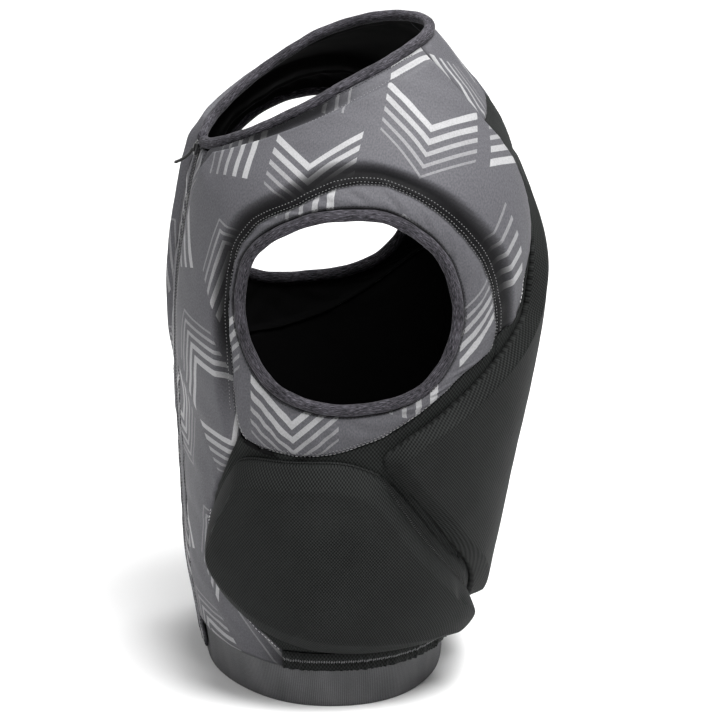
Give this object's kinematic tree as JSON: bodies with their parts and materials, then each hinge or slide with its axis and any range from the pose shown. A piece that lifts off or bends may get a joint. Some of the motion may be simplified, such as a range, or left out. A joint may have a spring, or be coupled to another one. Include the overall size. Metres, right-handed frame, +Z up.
{
  "type": "rib protector",
  "caption": "Padded karting vest that guards the ribs, sleeveless, with a front zip, printed shoulder panels, black mesh pads at the ribs and back, and an elastic waist band.",
  "frame": {"origin": "on the centre plane, at the level where the vest rests on the shoulders", "axes": "+Z up, the wearer faces -Y, the wearer's left is +X"},
  "size_m": [0.352, 0.2788, 0.4955],
  "materials": {
    "print": "printed stretch fabric, slightly sheeny",
    "heather": "heather knitted binding",
    "black_mesh": "black stretch mesh",
    "pad_mesh": "fine diagonal mesh over a moulded pad",
    "elastic": "ribbed elastic knit",
    "zip_tape": "woven zip tape",
    "zip_teeth": "moulded coil",
    "zip_slider": "black painted",
    "cord": "round braided cord"
  },
  "bodies": {
    "root": {"front_panel_left": "print", "armhole_band_left": "print", "armhole_binding_left": "heather", "side_panel_left": "black_mesh", "rib_pad_left": "pad_mesh", "zip_placket_left": "print", "zip_tape_left": "zip_tape", "front_panel_right": "print", "armhole_band_right": "print", "armhole_binding_right": "heather", "side_panel_right": "black_mesh", "rib_pad_right": "pad_mesh", "zip_placket_right": "print", "zip_tape_right": "zip_tape", "back_yoke": "print", "back_panel": "black_mesh", "back_pad": "pad_mesh", "neck_binding": "heather", "waist_band": "elastic", "gathered_hem": "black_mesh", "zip_teeth": "zip_teeth", "zip_slider": "zip_slider", "zip_pull": "cord"}
  },
  "joints": []
}
